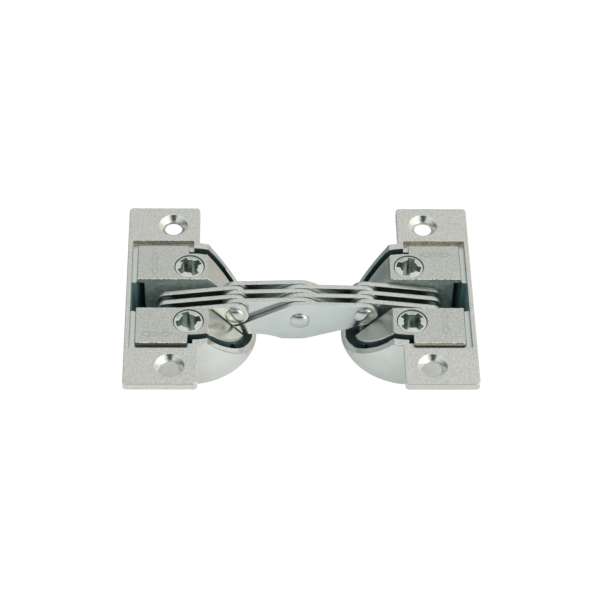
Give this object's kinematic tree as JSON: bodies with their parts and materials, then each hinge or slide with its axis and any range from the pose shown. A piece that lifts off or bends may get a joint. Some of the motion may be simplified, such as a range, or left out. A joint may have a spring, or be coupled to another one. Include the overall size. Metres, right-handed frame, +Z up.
{
  "type": "concealed hinge",
  "caption": "Concealed furniture hinge: two cup housings with adjustable carriers, joined by an interleaved scissor linkage that folds from flat to a right angle.",
  "frame": {"origin": "midway between the two cups, at the level of their undersides", "axes": "+X across both halves when flat, +Y along the mounting plates, +Z up to the plates' face"},
  "size_m": [0.088, 0.059, 0.0158],
  "materials": {
    "cast_nickel": "satin nickel on zinc casting",
    "screw_nickel": "bright nickel",
    "link_nickel": "bright nickel on stamped steel",
    "rivet_nickel": "bright nickel",
    "spacer_steel": "plain steel"
  },
  "bodies": {
    "left_housing": {"left_housing": "cast_nickel"},
    "left_carrier": {"left_carrier": "cast_nickel", "left_height_screw": "screw_nickel", "left_arm_pin": "rivet_nickel", "left_strut_pin": "rivet_nickel", "left_arm_spacers": "spacer_steel", "left_strut_spacers": "spacer_steel"},
    "left_side_screw": {"left_side_screw": "screw_nickel"},
    "left_arm": {"left_arm_back": "link_nickel", "left_arm_middle": "link_nickel", "left_arm_front": "link_nickel", "centre_rivet": "rivet_nickel", "right_knuckle_rivet": "rivet_nickel"},
    "left_strut": {"left_strut_back": "link_nickel", "left_strut_middle": "link_nickel", "left_strut_front": "link_nickel"},
    "right_arm": {"right_arm_back": "link_nickel", "right_arm_middle": "link_nickel", "right_arm_front": "link_nickel", "left_knuckle_rivet": "rivet_nickel"},
    "right_strut": {"right_strut_back": "link_nickel", "right_strut_middle": "link_nickel", "right_strut_front": "link_nickel"},
    "right_carrier": {"right_carrier": "cast_nickel", "right_side_screw": "screw_nickel", "right_arm_pin": "rivet_nickel", "right_strut_pin": "rivet_nickel", "right_arm_spacers": "spacer_steel", "right_strut_spacers": "spacer_steel"},
    "right_height_screw": {"right_height_screw": "screw_nickel"},
    "right_housing": {"right_housing": "cast_nickel"}
  },
  "joints": [
    {"name": "side_adjust", "type": "slide", "parent": "left_housing", "child": "left_carrier", "axis": [1, 0, 0], "range_m": [-0.001, 0.001]},
    {"name": "side_screw_turn", "type": "hinge", "parent": "left_carrier", "child": "left_side_screw", "pos_m": [-0.0281, -0.00915, 0.0155], "axis": [0, 0, 1], "range_deg": [-45, 45]},
    {"name": "fold", "type": "hinge", "parent": "left_carrier", "child": "left_arm", "pos_m": [-0.0176, 0, 0.0053], "axis": [0, -1, 0], "range_deg": [0, 90]},
    {"name": "left_strut_pivot", "type": "hinge", "parent": "left_carrier", "child": "left_strut", "pos_m": [-0.034, 0, 0.0072], "axis": [0, -1, 0], "range_deg": [0, 90]},
    {"name": "centre_pivot", "type": "hinge", "parent": "left_arm", "child": "right_arm", "pos_m": [0, 0, 0.0099], "axis": [0, -1, 0], "range_deg": [-90, 0]},
    {"name": "right_arm_pivot", "type": "hinge", "parent": "right_arm", "child": "right_carrier", "pos_m": [0.0176, 0, 0.0053], "axis": [0, -1, 0], "range_deg": [0, 90]},
    {"name": "right_strut_pivot", "type": "hinge", "parent": "right_carrier", "child": "right_strut", "pos_m": [0.034, 0, 0.0072], "axis": [0, -1, 0], "range_deg": [-90, 0]},
    {"name": "height_adjust", "type": "slide", "parent": "right_carrier", "child": "right_housing", "axis": [0, 1, 0], "range_m": [-0.001, 0.001]},
    {"name": "height_screw_turn", "type": "hinge", "parent": "right_carrier", "child": "right_height_screw", "pos_m": [0.0281, -0.00915, 0.0155], "axis": [0, 0, 1], "range_deg": [-45, 45]}
  ],
  "couplings": [
    {"joint": "side_screw_turn", "follows": "side_adjust", "rad_per_m": -785.4},
    {"joint": "left_strut_pivot", "follows": "fold", "ratio": 1},
    {"joint": "centre_pivot", "follows": "fold", "ratio": -1},
    {"joint": "right_arm_pivot", "follows": "fold", "ratio": 1},
    {"joint": "right_strut_pivot", "follows": "fold", "ratio": -1},
    {"joint": "height_screw_turn", "follows": "height_adjust", "rad_per_m": 785.4}
  ]
}
